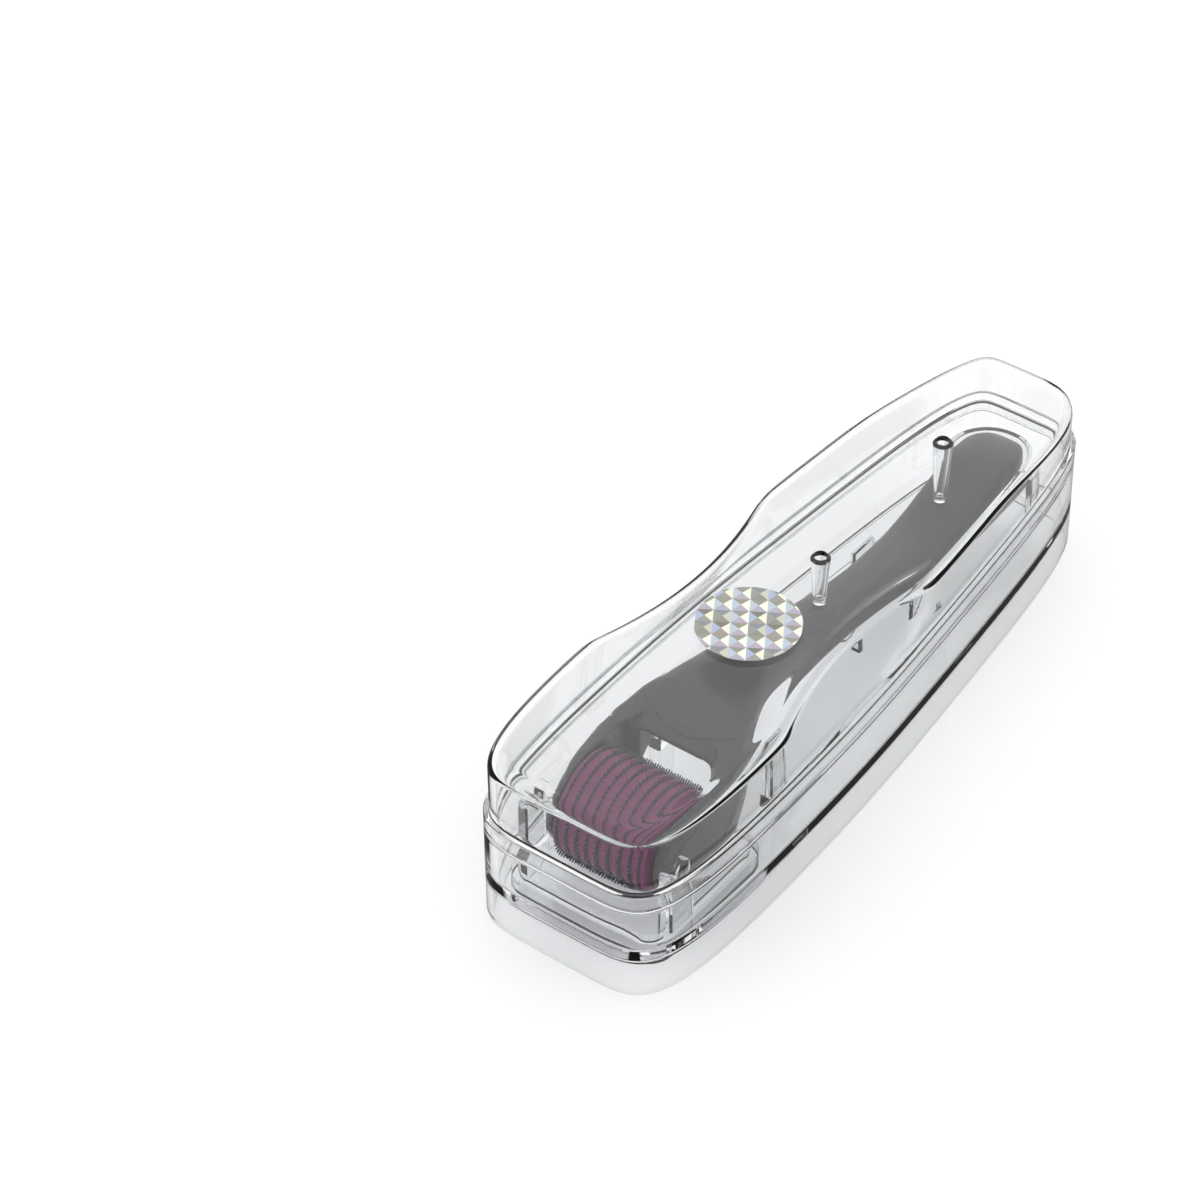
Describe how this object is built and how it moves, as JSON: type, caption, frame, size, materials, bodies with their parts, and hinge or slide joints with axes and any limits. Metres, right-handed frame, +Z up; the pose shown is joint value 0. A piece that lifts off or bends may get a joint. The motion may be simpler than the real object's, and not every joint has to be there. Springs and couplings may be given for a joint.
{
  "type": "derma roller",
  "caption": "Hand-held derma roller: a slim curved black handle with a forked head holding a turning purple drum of fine steel needles, stored in a clear two-part case.",
  "frame": {"origin": "middle of the case's footprint, on the surface that it stands on", "axes": "+Z up, +Y along the case towards the handle's tail, +X across, along the drum's axle"},
  "size_m": [0.0444, 0.148, 0.0371],
  "materials": {
    "clear_case": "clear polystyrene, polished",
    "hologram_label": "prismatic silver foil in triangular facets",
    "black_handle": "high gloss black ABS",
    "black_cover": "satin black ABS",
    "white_bush": "natural acetal",
    "axle_steel": "ground stainless steel",
    "needle_steel": "fine stainless steel",
    "purple_ring": "moulded purple, slightly glossy",
    "purple_hub": "moulded purple"
  },
  "bodies": {
    "case": {"case_base": "clear_case"},
    "roller": {"handle_upper_shell": "black_handle", "handle_lower_shell": "black_handle", "left_arm_cover": "black_cover", "right_arm_cover": "black_cover", "left_axle_bush": "white_bush", "right_axle_bush": "white_bush", "axle": "axle_steel"},
    "drum": {"drum_hub": "purple_hub", "left_end_ring": "purple_ring", "right_end_ring": "purple_ring", "needle_disc_1": "needle_steel", "needle_disc_2": "needle_steel", "needle_disc_3": "needle_steel", "needle_disc_4": "needle_steel", "needle_disc_5": "needle_steel", "needle_disc_6": "needle_steel", "needle_disc_7": "needle_steel", "needle_disc_8": "needle_steel", "needle_disc_9": "needle_steel", "spacer_ring_1": "purple_ring", "spacer_ring_2": "purple_ring", "spacer_ring_3": "purple_ring", "spacer_ring_4": "purple_ring", "spacer_ring_5": "purple_ring", "spacer_ring_6": "purple_ring", "spacer_ring_7": "purple_ring", "spacer_ring_8": "purple_ring"},
    "lid": {"case_lid": "clear_case", "lid_label": "hologram_label"}
  },
  "joints": [
    {"name": "roller_lift", "type": "slide", "parent": "case", "child": "roller", "axis": [0, 0, 1], "range_m": [0, 0.03]},
    {"name": "lid_lift", "type": "slide", "parent": "roller", "child": "lid", "axis": [0, 0, 1], "range_m": [0, 0.05]},
    {"name": "drum_spin", "type": "hinge", "parent": "roller", "child": "drum", "pos_m": [0, -0.052, 0.0162], "axis": [1, 0, 0], "continuous": true}
  ]
}
